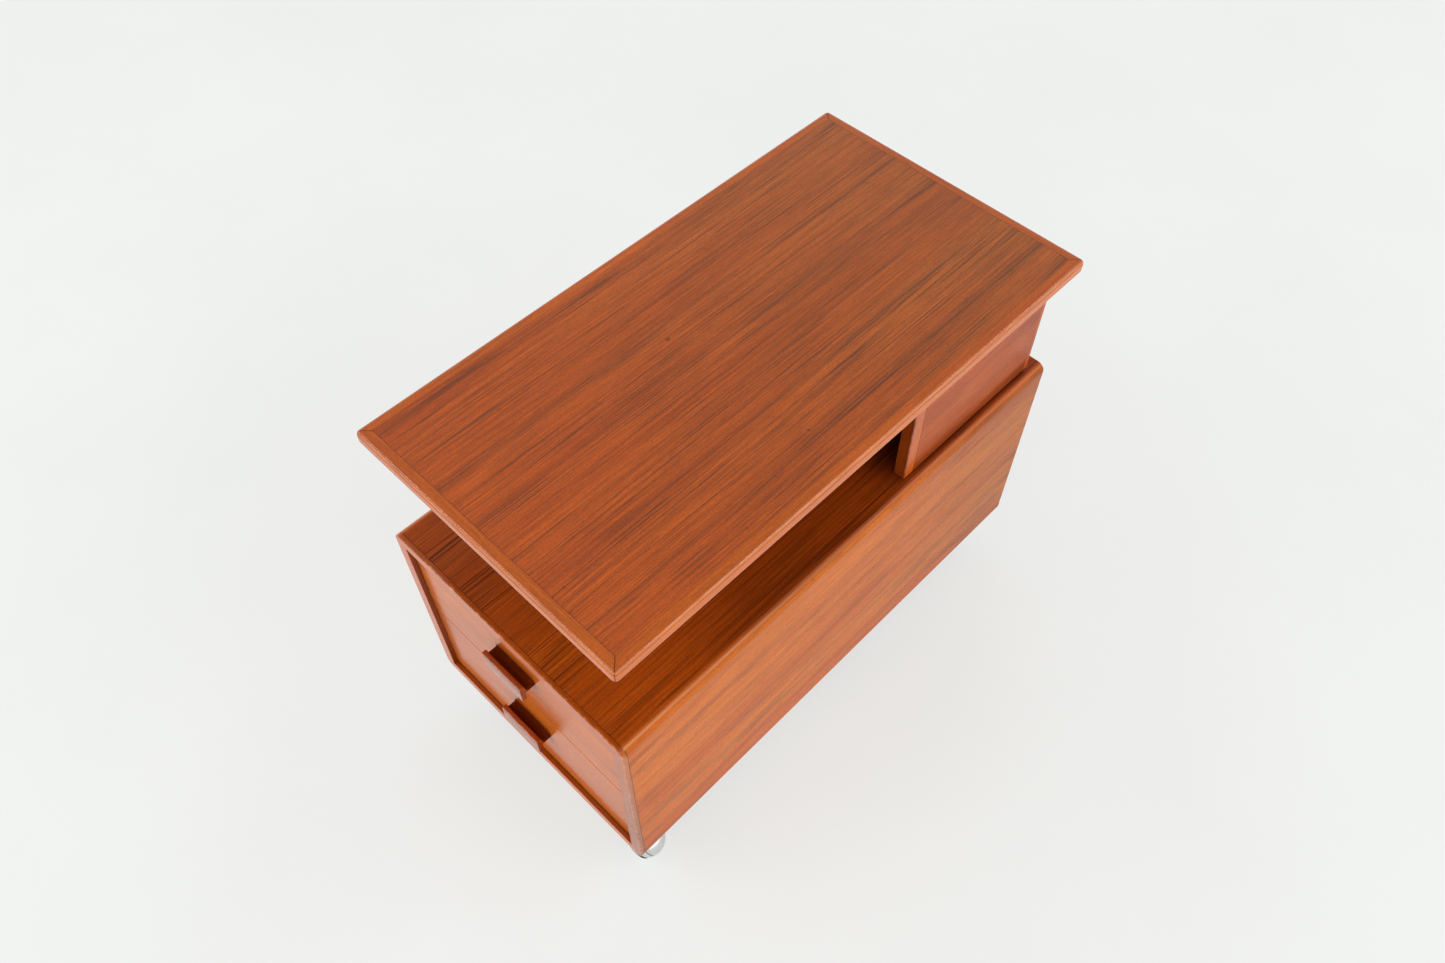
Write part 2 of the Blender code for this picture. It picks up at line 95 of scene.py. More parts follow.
# Ball casters.
BALL_RADIUS = 0.025
TREAD_RADIUS = 0.026
TREAD_SEAT = 0.0240
TREAD_ANGLE = math.radians(60)
TREAD_HALF = math.radians(5)
TREAD_CLEAR = math.radians(0.4)
TREAD_PROUD = 0.0001
TREAD_GAP = 0.0002
SHELL = 0.0023
SEAM_HALF = 0.0005
COLLAR_RADIUS = 0.0072
COLLAR_FOOT = 0.014
COLLAR_FLARE = 0.006
COLLAR_TAPER = 0.0007
COLLAR_CHAMFER = 0.0006
COLLAR_GAP = 0.0013
STEM_RADIUS = 0.0040
STEM_REACH = 0.002
CASTER_SEGMENTS = 64
STEM_SEGMENTS = 40

# Camera: where it stands, the way it looks, and its lens.
CAMERA_PLACE = (0.6085, -0.6345, 1.5489)
CAMERA_AZIMUTH = math.radians(44.76)
CAMERA_ELEVATION = math.radians(54.38)
CAMERA_ROLL = math.radians(-0.40)
CAMERA_LENS = 28.77
CAMERA_SENSOR = 36.0

# The floor, a little below the wheels, which glows like the photo's bright one.
FLOOR_HALF = 14.0
FLOOR_DROP = 0.0001
FLOOR_GLOW = 2.30

# The studio's colour from straight below, through level, to straight above,
# and the strength of its light.
SKY = ((0.0, (1.0, 1.0, 0.99)), (0.5, (0.62, 0.62, 0.62)), (1.0, (0.26, 0.26, 0.27)))
SKY_STRENGTH = 1.6

# Area lights: where each stands, where it aims, its size and its power.
LIGHTS = {
    "window_right": dict(place=(2.0, 1.3, 2.2), aim=(0.1, 0, 0.5), size=(2.4, 0.16), power=22),
    "window_left": dict(place=(-1.3, -2.0, 2.2), aim=(0, 0, 0.5), size=(2.4, 0.16), power=22),
    "front_fill": dict(place=(1.1, -2.2, 0.9), aim=(0.1, -0.2, 0.3), size=(1.4, 1.0), power=5),
}


# ---------------------------------------------------------------- materials

class Shader:
    """One material and short names for the nodes that it is made of."""

    def __init__(self, name):
        self.material = bpy.data.materials.new(name)
        self.material.use_nodes = True
        self.tree = self.material.node_tree
        self.surface = self.tree.nodes["Principled BSDF"]
        self.place = self.node("ShaderNodeTexCoord").outputs["Object"]

    def node(self, kind, **settings):
        made = self.tree.nodes.new(kind)
        for key, value in settings.items():
            setattr(made, key, value)
        return made

    def plug(self, socket, value):
        """Links another node's output into a socket, or sets the socket's own value."""
        if isinstance(value, bpy.types.NodeSocket):
            self.tree.links.new(value, socket)
        else:
            socket.default_value = value

    def set(self, **values):
        """Sets the surface's sockets; an underscore stands for a space."""
        for key, value in values.items():
            self.plug(self.surface.inputs[key.replace("_", " ")], value)

    def maths(self, operation, *values):
        made = self.node("ShaderNodeMath", operation=operation)
        for socket, value in zip(made.inputs, values):
            self.plug(socket, value)
        return made.outputs[0]

    def split(self, vector):
        made = self.node("ShaderNodeSeparateXYZ")
        self.plug(made.inputs[0], vector)
        return list(made.outputs)

    def join(self, x, y, z):
        made = self.node("ShaderNodeCombineXYZ")
        for socket, value in zip(made.inputs, (x, y, z)):
            self.plug(socket, value)
        return made.outputs[0]

    def ways(self):
        """The object's own coordinates, by the name of their way."""
        return dict(zip("xyz", self.split(self.place)))

    def scaled(self, factor):
        """The object's own coordinates, multiplied by a factor."""
        return self.join(*[self.maths("MULTIPLY", part, factor) for part in self.split(self.place)])

    def off(self, value, centre):
        """How far a value is from a centre, to either side."""
        return self.maths("ABSOLUTE", self.maths("SUBTRACT", value, centre))

    def noise(self, vector, detail=2.0, roughness=0.5):
        made = self.node("ShaderNodeTexNoise")
        self.plug(made.inputs["Vector"], vector)
        self.plug(made.inputs["Scale"], 1.0)
        self.plug(made.inputs["Detail"], detail)
        self.plug(made.inputs["Roughness"], roughness)
        return made.outputs["Fac"]

    def window(self, value, low, high, to_low=0.0, to_high=1.0):
        """Smoothly maps low..high to to_low..to_high, and holds the ends outside it."""
        made = self.node("ShaderNodeMapRange", interpolation_type="SMOOTHSTEP")
        for socket, number in zip(made.inputs, (value, low, high, to_low, to_high)):
            self.plug(socket, number)
        return made.outputs[0]

    def mix(self, factor, one, two, blend="MIX"):
        made = self.node("ShaderNodeMix", data_type="RGBA", blend_type=blend)
        self.plug(made.inputs["Factor"], factor)
        self.plug(made.inputs["A"], one if isinstance(one, bpy.types.NodeSocket) else (*one, 1.0))
        self.plug(made.inputs["B"], two if isinstance(two, bpy.types.NodeSocket) else (*two, 1.0))
        return made.outputs["Result"]

    def bump(self, height, depth):
        made = self.node("ShaderNodeBump")
        self.plug(made.inputs["Height"], height)
        self.plug(made.inputs["Strength"], 1.0)
        self.plug(made.inputs["Distance"], depth)
        self.plug(self.surface.inputs["Normal"], made.outputs[0])


class Grain:
    """Coordinates that follow the wood: along the fibres, across them, and through the board.

    A veneer is laid up from leaves of one log, so its streaks come back once
    in every leaf's width, a little further along.
    """

    ORDER = {"X": (0, 1, 2), "Y": (1, 0, 2), "Z": (2, 0, 1)}
    WANDER = 0.006
    LEAF_SLIP = 0.09
    STREAK_DRIFT = 0.004

    def __init__(self, shader, axis, seed, leaf, across):
        self.shader = shader
        parts = shader.split(shader.place)
        along, side, depth = (parts[i] for i in self.ORDER[axis])
        if across == "depth":
            side, depth = depth, side
        self.along = shader.maths("ADD", along, 3.7 * seed)
        side = shader.maths("ADD", side, 4.0)
        wander = shader.noise(shader.join(shader.maths("MULTIPLY", self.along, 2.4),
                                          shader.maths("MULTIPLY", side, 5.0), 0.37 * seed), 1.0)
        self.side = shader.maths("MULTIPLY_ADD", shader.maths("SUBTRACT", wander, 0.5), self.WANDER, side)
        self.depth = depth
        number = shader.maths("FLOOR", shader.maths("DIVIDE", self.side, leaf))
        self.in_leaf = shader.maths("MODULO", self.side, leaf)
        self.slipped = shader.maths("MULTIPLY_ADD", number, self.LEAF_SLIP, self.along)

    def noise(self, length, width, detail=2.0, roughness=0.5, shift=0.0):
        """Noise whose marks are about length long and width wide, in metres."""
        s = self.shader
        vector = s.join(s.maths("DIVIDE", self.along, length),
                        s.maths("MULTIPLY_ADD", self.side, 1.0 / width, shift),
                        s.maths("DIVIDE", self.depth, width))
        return s.noise(vector, detail, roughness)

    def streak(self, place, width, strength, break_up):
        """One dark growth line at a place in every leaf, which swells, fades and breaks up."""
        s = self.shader
        drift = s.noise(s.join(s.maths("MULTIPLY", self.slipped, 3.0), 40.0 * place, 0.0), 1.0)
        reach = s.maths("SUBTRACT", self.in_leaf, place)
        reach = s.maths("MULTIPLY_ADD", s.maths("SUBTRACT", drift, 0.5), self.STREAK_DRIFT, reach)
        core = s.window(s.maths("ABSOLUTE", reach), 0.1 * width, width, 1.0, 0.0)
        swell = s.noise(s.join(s.maths("MULTIPLY", self.slipped, 6.5), 90.0 * place, 5.0), 2.0)
        swell = s.window(swell, 0.34, 0.60, 0.35 * strength, strength)
        return s.maths("MULTIPLY", s.maths("MULTIPLY", core, swell), break_up)


# Light, warm and dark wood of each cut, how strong its dark fine lines, its
# combed shading and its cloudiness are, the width of a leaf, and the (place,
# width, strength) of the streaks in it.
STREAKS = ((0.025, 0.0095, 0.42), (0.026, 0.0030, 0.40), (0.052, 0.0030, 0.25), (0.082, 0.0040, 0.35),
           (0.127, 0.0105, 0.45), (0.128, 0.0032, 0.45), (0.155, 0.0028, 0.35))
FAINT = ((0.030, 0.0090, 0.35), (0.078, 0.0130, 0.45), (0.135, 0.0100, 0.30))
CUTS = {
    "top": dict(light=(0.424, 0.076, 0.005), warm=(0.365, 0.057, 0.003), dark=(0.090, 0.023, 0.006),
                lines=0.72, comb=0.22, clouds=0.18, leaf=0.165, streaks=STREAKS),
    "case_top": dict(light=(0.400, 0.071, 0.003), warm=(0.335, 0.053, 0.002), dark=(0.075, 0.013, 0.001),
                     lines=0.80, comb=0.26, clouds=0.12, leaf=0.135, streaks=FAINT[:1]),
    "side": dict(light=(0.610, 0.158, 0.016), warm=(0.495, 0.098, 0.010), dark=(0.240, 0.050, 0.010),
                 lines=0.30, comb=0.07, clouds=0.60, leaf=0.17, streaks=FAINT),
    "front": dict(light=(0.570, 0.140, 0.018), warm=(0.480, 0.102, 0.010), dark=(0.250, 0.050, 0.008),
                  lines=0.30, comb=0.06, clouds=0.35, leaf=0.21, streaks=FAINT[:2]),
    "riser": dict(light=(0.485, 0.098, 0.009), warm=(0.395, 0.064, 0.005), dark=(0.200, 0.034, 0.004),
                  lines=0.35, comb=0.07, clouds=0.55, leaf=0.17, streaks=FAINT[:2]),
    "solid": dict(light=(0.455, 0.092, 0.005), warm=(0.390, 0.070, 0.003), dark=(0.160, 0.030, 0.005),
                  lines=0.40, comb=0.10, clouds=0.20, leaf=0.30, streaks=FAINT[:1]),
    "edge": dict(light=(0.560, 0.112, 0.005), warm=(0.480, 0.084, 0.003), dark=(0.240, 0.045, 0.004),
                 lines=0.35, comb=0.07, clouds=0.20, leaf=0.30, streaks=FAINT[:1]),
    "pull": dict(light=(0.350, 0.058, 0.004), warm=(0.280, 0.042, 0.003), dark=(0.120, 0.020, 0.003),
                 lines=0.40, comb=0.07, clouds=0.20, leaf=0.30, streaks=FAINT[:1]),
}


def teak(name, cut, axis, seed, roughness=0.30, level=0.5, across=None, relief=0.00003, marks=(), dull=None):
    """Oiled teak: warm and light bands, dark streaks, fine lines, pores and a faint fleck.

    level is the strength of its shine. marks are functions that draw joints,
    wear, stains, and painted light and shade as a factor, a colour and a way
    to blend it, and dull is one whose factor takes the shine away.
    """
    look = CUTS[cut]
    s = Shader(name)
    g = Grain(s, axis, seed, look["leaf"], across)

    # Broad bands of light and warm wood, with darker clouds.
    tone = s.window(g.noise(0.90, 0.045, 3.0, 0.5), 0.28, 0.72)
    colour = s.mix(tone, look["warm"], look["light"])
    clouds = s.window(g.noise(0.17, 0.026, 3.0, 0.6, 7.0), 0.46, 0.76)
    colour = s.mix(s.maths("MULTIPLY", clouds, look["clouds"]), colour, look["dark"])

    # Dark growth lines: the streaks of the cut, and fine ones that crowd in places.
    coarse = s.window(g.noise(0.16, 0.0019, 1.5, 0.6, 5.0), 0.52, 0.66)
    hair = s.window(g.noise(0.09, 0.0009, 1.5, 0.6, 11.0), 0.50, 0.68)
    fine = s.maths("MAXIMUM", coarse, s.maths("MULTIPLY", hair, 0.7))
    break_up = s.maths("MULTIPLY_ADD", fine, 0.45, 0.55)
    for place, width, strength in look["streaks"]:
        streak = g.streak(place, width, strength, break_up)
        colour = s.mix(streak, colour, look["dark"])
    crowd = s.window(g.noise(0.25, 0.014, 2.0, 0.5, 17.0), 0.38, 0.60, 0.30, 1.0)
    lines = s.maths("MULTIPLY", s.maths("MULTIPLY", fine, crowd), look["lines"])
    colour = s.mix(lines, colour, look["dark"])

    # Pores, and a few dark specks.
    pores = s.window(g.noise(0.0060, 0.00040, 1.0, 0.5, 29.0), 0.60, 0.70)
    colour = s.mix(s.maths("MULTIPLY", pores, 0.40), colour, look["dark"])
    specks = s.noise(s.scaled(75.0), 0.0)
    colour = s.mix(s.window(specks, 0.865, 0.90, 0.0, 0.6), colour, look["dark"])

    # Soft shading, each pattern from its darkest to its lightest.
    comb = g.noise(0.20, 0.0024, 3.0, 0.7, 41.0)
    fibre = g.noise(0.026, 0.0008, 2.0, 0.6, 23.0)
    fleck = s.noise(s.scaled(420.0), 1.0)
    patina = s.noise(s.scaled(7.0), 3.0)
    for pattern, low, high in ((comb, 1.0 - look["comb"], 1.0 + look["comb"]), (fibre, 0.85, 1.14),
                               (fleck, 0.92, 1.08), (patina, 0.94, 1.05)):
        grey = s.window(pattern, 0.27, 0.73, low, high)
        colour = s.mix(1.0, colour, s.join(grey, grey, grey), "MULTIPLY")

    for draw in marks:
        factor, paint, *blend = draw(s)
        colour = s.mix(factor, colour, paint, *blend)
    s.set(Base_Color=colour)

    # Shine, duller in the pores and wherever dull says, and the pores' relief.
    rough = s.window(g.noise(0.05, 0.006, 2.0, 0.5, 31.0), 0.3, 0.7, roughness - 0.03, roughness + 0.04)
    if dull is not None:
        dulled = dull(s)[0]
        rough = s.maths("MULTIPLY_ADD", dulled, 0.25, rough)
        level = s.maths("MULTIPLY_ADD", dulled, -level, level)
    s.set(Specular_IOR_Level=level)
    s.set(Roughness=s.maths("MULTIPLY_ADD", pores, 0.15, rough))
    s.bump(s.maths("SUBTRACT", s.maths("MULTIPLY", fibre, 0.35), pores), relief)
    return s.material


# Colours laid over the wood: joint lines and knocks, edges rubbed pale and
# painted highlight lines, and the plain wood of the case's two long upper edges.
GLUE = (0.045, 0.010, 0.003)
WEAR_AND_HIGHLIGHT = (0.72, 0.32, 0.15)
ROUND_WOOD = (0.42, 0.085, 0.006)

# Tints that multiply the wood's colour.
# Painted light and rubbed wood on the top lippings' rounded edges.
EDGE_LIGHT_AND_RUB = (1.36, 1.50, 1.30)
# Painted shade in the pulls' hollows, around the pulls and in the lippings' inner corners.
SHADE_TINT = (0.42, 0.34, 0.40)
# Painted shade in the riser's open space and on the case top under it.
INTERIOR_SHADE = (0.27, 0.23, 0.25)
# Painted sheen towards the back of the table top.
TOP_BACK_SHEEN = (0.91, 1.20, 1.60)
# Painted shade towards the back of the case's sides.
CASE_BACK_SHADE = (0.78, 0.84, 0.90)
# Painted shade on the case top under the table top.
UNDER_TOP_SHADE = (0.70, 0.62, 0.60)
# Painted light on the case's long rounded edges.
ROUND_LIGHT = (1.45, 1.80, 3.5)
UPPER_LIPPING_TINT = (0.72, 0.64, 0.40)
RIGHT_LIPPING_FOOT = (0.60, 0.55, 0.55)
RIGHT_LIPPING_CORNER = (1.0, 1.40, 5.0)
# Painted shade at the foot of the riser's sides.
RISER_FOOT_SHADE = (0.78, 0.72, 0.70)
# Painted shade towards the back of the riser's sides.
RISER_BACK_SHADE = (0.84, 0.80, 0.80)
# Painted shade on the front of the riser's lippings.
RISER_FRONT_SHADE = (0.40, 0.34, 0.40)


# Each function below gives one that draws a mark on a material: it returns
# how strong the mark is, its colour and, where it isn't plain, how it blends.

def highlight_line(top, depth, strength, start, end):
    """A painted highlight: a paler, uneven line along a rounded edge, a little below its top, weaker from
    start to end in y.
    """
    def draw(s):
        parts = s.ways()
        patch = s.noise(s.scaled(22.0), 3.0, 0.6)
        line = s.window(s.off(parts["z"], top - depth), 0.0003, 0.0013, 1.0, 0.0)
        line = s.maths("MULTIPLY", line, s.window(parts["y"], start, end, 1.0, 0.2))
        return s.maths("MULTIPLY", line, s.window(patch, 0.35, 0.65, 0.5 * strength, strength)), WEAR_AND_HIGHLIGHT
    return draw


def glue_line(centre, half, strength):
    """A thin, uneven dark line along a panel's edges, each half away from the centre in its way."""
    def draw(s):
        parts = s.ways()
        rough = s.noise(s.scaled(260.0), 2.0)
        line = 0.0
        for way in centre:
            inset = s.maths("SUBTRACT", half[way], s.off(parts[way], centre[way]))
            inset = s.maths("ADD", inset, s.maths("MULTIPLY", s.maths("SUBTRACT", rough, 0.5), 0.0011))
            line = s.maths("MAXIMUM", s.window(inset, 0.0002, 0.0012, strength[way], 0.0), line)
        return line, GLUE
    return draw


def seam_line(start, strength):
    """A glue line across the end of a panel that starts at a place in y."""
    return glue_line({"y": start + 1}, {"y": 1}, {"y": strength})


def mitre_line(centre, half, strength):
    """A thin dark line on the diagonals from a frame's outer corners."""
    def draw(s):
        parts = s.ways()
        insets = [s.maths("SUBTRACT", half[way], s.off(parts[way], centre[way])) for way in centre]
        return s.window(s.off(*insets), 0.0003, 0.0010, strength, 0.0), GLUE
    return draw


def near_edges(s, low, high, ways, start, end):
    """Full up to start from the edges where two ways of a box meet, and gone at end."""
    parts = s.ways()
    insets = []
    for way in ways:
        first, last = getattr(low, way), getattr(high, way)
        insets.append(s.maths("SUBTRACT", (last - first) / 2, s.off(parts[way], (first + last) / 2)))
    return s.window(s.maths("MAXIMUM", *insets), start, end, 1.0, 0.0)


def edge_wear(low, high, ways, reach, strength):
    """Paler, rubbed wood in patches along the edges where two ways of a box meet."""
    def draw(s):
        near = near_edges(s, low, high, ways, 0.0004, reach)
        patch = s.noise(s.scaled(75.0), 4.0, 0.65)
        return s.maths("MULTIPLY", near, s.window(patch, 0.46, 0.72, 0.1 * strength, strength)), WEAR_AND_HIGHLIGHT
    return draw


def dings(low, high, ways):
    """Small dark knocks close to the edges where two ways of a box meet."""
    def draw(s):
        near = near_edges(s, low, high, ways, 0.002, 0.008)
        spot = s.noise(s.scaled(330.0), 2.0, 0.6)
        return s.maths("MULTIPLY", near, s.window(spot, 0.66, 0.74, 0.0, 0.8)), GLUE
    return draw


def shade(way, low, high, low_strength, high_strength, tint):
    """Wood tinted, mostly with painted light and shade, which fades between two places along one way."""
    def draw(s):
        return s.window(s.ways()[way], low, high, low_strength, high_strength), tint, "MULTIPLY"
    return draw


def pull_shadow(low, high, above, strength):
    """Painted shade and reflection of a pull on the wood behind it and a little way above it."""
    def draw(s):
        parts = s.ways()
        half = (high.x - low.x) / 2
        across = s.window(s.off(parts["x"], (low.x + high.x) / 2), half - 0.001, half + 0.003, 1.0, 0.0)
        up = s.window(parts["z"], high.z, high.z + above, strength, 0.0)
        down = s.window(parts["z"], low.z - 0.004, low.z + 0.004)
        return s.maths("MULTIPLY", s.maths("MULTIPLY", across, up), down), SHADE_TINT, "MULTIPLY"
    return draw


def shade_both(way, end, start, stop, tint, strength=1.0, how="MULTIPLY"):
    """A tint that comes in towards both ends of one way, from one inset to another."""
    def draw(s):
        reach = s.maths("ABSOLUTE", s.ways()[way])
        return s.window(reach, end - start, end - stop, 0.0, strength), tint, how
    return draw


def recess(half, start, end, back):
    """The darkness under a box as wide as twice half, deeper from start to end and gone at its back."""
    def draw(s):
        parts = s.ways()
        under = s.window(s.maths("ABSOLUTE", parts["x"]), half - 0.006, half, 1.0, 0.0)
        under = s.maths("MULTIPLY", under, s.window(parts["y"], back - 0.004, back, 1.0, 0.0))
        return s.maths("MULTIPLY", under, s.window(parts["y"], start, end)), INTERIOR_SHADE, "MULTIPLY"
    return draw


def pale_wood(name, light, dark, axis, seed, width=0.004):
    """Plain planed wood for the hidden parts: oak or birch."""
    s = Shader(name)
    g = Grain(s, axis, seed, 0.30, None)
    rings = s.window(g.noise(0.40, width, 3.0, 0.6), 0.35, 0.68)
    colour = s.mix(rings, light, dark)
    pores = s.window(g.noise(0.009, 0.0005, 1.0, 0.5, 13.0), 0.60, 0.72)
    colour = s.mix(s.maths("MULTIPLY", pores, 0.35), colour, tuple(0.5 * c for c in dark))
    s.set(Base_Color=colour, Roughness=s.window(rings, 0.0, 1.0, 0.45, 0.58))
    s.bump(s.maths("SUBTRACT", rings, pores), 0.00005)
    return s.material


def metal(name, colour, roughness, smudge, scratch):
    """Plated steel with faint smudges and fine scratches."""
    s = Shader(name)
    wear = s.window(s.noise(s.scaled(90.0), 3.0, 0.6), 0.45, 0.75)
    stretched = [s.maths("MULTIPLY", *pair) for pair in zip(s.split(s.place), (2500.0, 400.0, 120.0))]
    marks = s.noise(s.join(*stretched), 2.0)
    s.set(Base_Color=s.mix(wear, colour, tuple(0.86 * c for c in colour)), Metallic=1.0)
    s.set(Roughness=s.maths("MULTIPLY_ADD", wear, smudge, roughness))
    s.bump(marks, scratch)
    return s.material


def rubber(name):
    """Black rubber, greyed with floor dust in patches."""
    s = Shader(name)
    dust = s.window(s.noise(s.scaled(260.0), 3.0, 0.6), 0.45, 0.8)
    s.set(Base_Color=s.mix(dust, (0.010, 0.010, 0.010), (0.035, 0.033, 0.030)))
    s.set(Roughness=s.maths("MULTIPLY_ADD", dust, 0.25, 0.5))
    s.bump(dust, 0.00005)
    return s.material


def painted_floor():
    """White floor paint, slightly clouded."""
    s = Shader("floor_paint")
    cloud = s.noise(s.scaled(1.5), 4.0, 0.6)
    paint = s.mix(cloud, (0.245, 0.250, 0.246), (0.265, 0.270, 0.265))
    s.set(Base_Color=paint, Emission_Color=paint, Emission_Strength=FLOOR_GLOW)
    s.set(Roughness=0.6, Specular_IOR_Level=0.3)
    return s.material


# ----------------------------------------------------------------- geometry

def piece(name, form, finish, body, slot, *stands_for):
    """Turns a bmesh into a shown piece that rides on a body and stands for CAD nodes."""
    bmesh.ops.recalc_face_normals(form, faces=form.faces)
    mesh = bpy.data.meshes.new(name)
    form.to_mesh(mesh)
    form.free()
    mesh.shade_smooth()
    mesh.set_sharp_from_angle(angle=CRISP_ANGLE)
    mesh.materials.append(finish)
    made = bpy.data.objects.new(name, mesh)
    bpy.context.scene.collection.objects.link(made)
    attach(made, body)
    if stands_for:
        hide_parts(*stands_for)
    return made


def weigh_normals(made):
    """Keeps flat faces flat where they run into rounds."""
    weighted = made.modifiers.new("flat_faces", "WEIGHTED_NORMAL")
    weighted.keep_sharp = True


def soften(made, width, segments=2, angle=50):
    """Rounds the sharp edges of a piece."""
    weld = made.modifiers.new("weld", "WELD")
    weld.merge_threshold = WELD_REACH
    bevel = made.modifiers.new("softened_edges", "BEVEL")
    bevel.width = width
    bevel.segments = segments
    bevel.limit_method = "ANGLE"
    bevel.angle_limit = math.radians(angle)
    bevel.harden_normals = True


def arc(centre, radius, start, end, steps):
    """Points on an arc between two angles in degrees, both ends included."""
    angles = [math.radians(start + (end - start) * i / steps) for i in range(steps + 1)]
    return [(centre[0] + radius * math.cos(a), centre[1] + radius * math.sin(a)) for a in angles]


def bridge(form, loops):
    """Quads between neighbouring loops of equally many vertices."""
    for one, two in zip(loops, loops[1:]):
        for i in range(len(one)):
            j = (i + 1) % len(one)
            form.faces.new((one[i], one[j], two[j], two[i]))


def strip(width, height, corner, profile, side, place):
    """One mitred side of a rectangular frame with rounded outer corners.

    The frame is centred on the origin of the (u, v) plane. profile is a closed
    loop of (inset from the outer edge, w), and side counts clockwise from +v.
    """
    across, along = (width, height) if side % 2 == 0 else (height, width)
    shrink = JOINT / 2 * math.sqrt(2)
    form = bmesh.new()
    columns = []
    for k in range(2 * CORNER_STEPS + 2):
        end = -1 if k <= CORNER_STEPS else 1
        turn = k if end < 0 else 2 * CORNER_STEPS + 1 - k
        angle = math.pi / 4 * (1 + turn / CORNER_STEPS)
        column = []
        for inset, w in profile:
            reach = max(corner - inset, 0.0)
            u = across / 2 - max(corner, inset) + reach * math.cos(angle)
            v = along / 2 - max(corner, inset) + reach * math.sin(angle)
            u = end * (u - shrink)
            for _ in range(side):
                u, v = v, -u
            column.append(form.verts.new(place(u, v, w)))
        columns.append(column)
    bridge(form, columns)
    form.faces.new(columns[0])
    form.faces.new(reversed(columns[-1]))
    bmesh.ops.remove_doubles(form, verts=form.verts, dist=SAME_PLACE)
    bmesh.ops.dissolve_degenerate(form, edges=form.edges, dist=NO_LENGTH)
    return form


def prism(outline, low, high, place):
    """Extrudes a closed outline of (a, b) pairs from low to high."""
    form = bmesh.new()
    loops = [[form.verts.new(place(a, b, c)) for a, b in outline] for c in (low, high)]
    bridge(form, loops)
    form.faces.new(loops[0])
    form.faces.new(reversed(loops[1]))
    return form


def lathe(profile, matrix, segments=CASTER_SEGMENTS):
    """Turns a closed (radius, height) profile about Z and places it by a matrix.

    A ring is one vertex where the profile meets the axis. The faces are made
    one by one, so that their order is the same in every run.
    """
    form = bmesh.new()
    turns = [Matrix.Rotation(2 * math.pi * i / segments, 4, "Z") for i in range(segments)]
    rings = []
    for radius, height in profile:
        point = Vector((radius, 0.0, height))
        used = turns if radius > ON_AXIS else turns[:1]
        rings.append([form.verts.new(matrix @ turn @ point) for turn in used])
    for one, two in zip(rings, rings[1:] + rings[:1]):
        if len(one) == len(two) == 1:
            continue
        for i in range(segments):
            j = (i + 1) % segments
            corners = (one[i % len(one)], one[j % len(one)], two[j % len(two)], two[i % len(two)])
            form.faces.new(list(dict.fromkeys(corners)))
    return form


# -------------------------------------------------------------------- wood

def box_of(*names):
    """The box round several CAD nodes."""
    boxes = [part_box(name) for name in names]
    low = Vector(min(b[0][i] for b in boxes) for i in range(3))
    high = Vector(max(b[1][i] for b in boxes) for i in range(3))
    return low, high


def make_top():
    """The veneered top panel and the four mitred lippings round it."""
    low, high = box_of("top_front_lipping", "top_back_lipping", "top_left_lipping", "top_right_lipping")
    middle = (low + high) / 2
    half = (high - low) / 2
    panel_low, panel_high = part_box("top_panel")
    inset = (high.x - panel_high.x) - JOINT
    profile = [(inset, low.z)]
    profile += arc((TOP_LOWER_ROUND, low.z + TOP_LOWER_ROUND), TOP_LOWER_ROUND, -90, -180, 12)
    profile += arc((TOP_UPPER_ROUND, high.z - TOP_UPPER_ROUND), TOP_UPPER_ROUND, 180, 90, 12)
    profile.append((inset, high.z))
    centre = {"x": middle.x, "y": middle.y}
    corner = {"x": half.x, "y": half.y}
    # The lippings' rounded edges are painted lighter: painted light from the side, and rubbed wood.
    bright = shade("z", high.z - TOP_UPPER_ROUND, high.z - 0.0004, 1.0, 0.0, EDGE_LIGHT_AND_RUB)
    # A painted highlight line runs along the lippings' rounded edges.
    edge_marks = (bright, mitre_line(centre, corner, 0.9), highlight_line(high.z, 0.0022, 0.55, 0.38, 0.40))
    for side, label in enumerate(("back", "right", "front", "left")):
        axis, ways = ("X", "yz") if side % 2 == 0 else ("Y", "xz")
        marks = (*edge_marks, edge_wear(low, high, ways, 0.003, 0.25))
        finish = teak(f"top_{label}_teak", "solid", axis, 2 + side, 0.20, 0.38, relief=0.000003, marks=marks)
        form = strip(2 * half.x, 2 * half.y, TOP_CORNER_RADIUS, profile, side,
                     lambda u, v, w: (u + middle.x, v + middle.y, w))
        name = f"top_{label}_lipping"
        weigh_normals(piece(f"{name}_fine", form, finish, "table", "teak_solid", name))
    reach = {"x": (panel_high.x - panel_low.x) / 2, "y": (panel_high.y - panel_low.y) / 2}
    # A painted sheen, paler and yellower towards the back of the top.
    light_towards_back = shade("y", panel_low.y, panel_high.y, 0.0, 1.0, TOP_BACK_SHEEN)
    marks = (light_towards_back, glue_line(centre, reach, {"x": 0.15, "y": 0.5}))
    dress("top_panel", teak("top_veneer", "top", "Y", 1, 0.36, 0.33, relief=0.00004, marks=marks))


def dress(name, finish, width=0.0):
    """Gives a CAD node its finish and, if asked, softened edges."""
    node = NODES[name]
    node.data.materials.clear()
    node.data.materials.append(finish)
    if width:
        soften(node, width)


# Each side of the case: its veneer's cut and seed, the way through the board
# where it isn't up, the two ways across its edges, its roughness and its shine.
CASE_SIDES = {
    "top": dict(cut="case_top", seed=16, across=None, ways="yz", roughness=0.34, level=0.16),
    "right": dict(cut="side", seed=12, across="depth", ways="xy", roughness=0.38, level=0.15),
    "bottom": dict(cut="case_top", seed=13, across=None, ways="yz", roughness=0.34, level=0.5),
    "left": dict(cut="side", seed=14, across="depth", ways="xy", roughness=0.38, level=0.15),
}


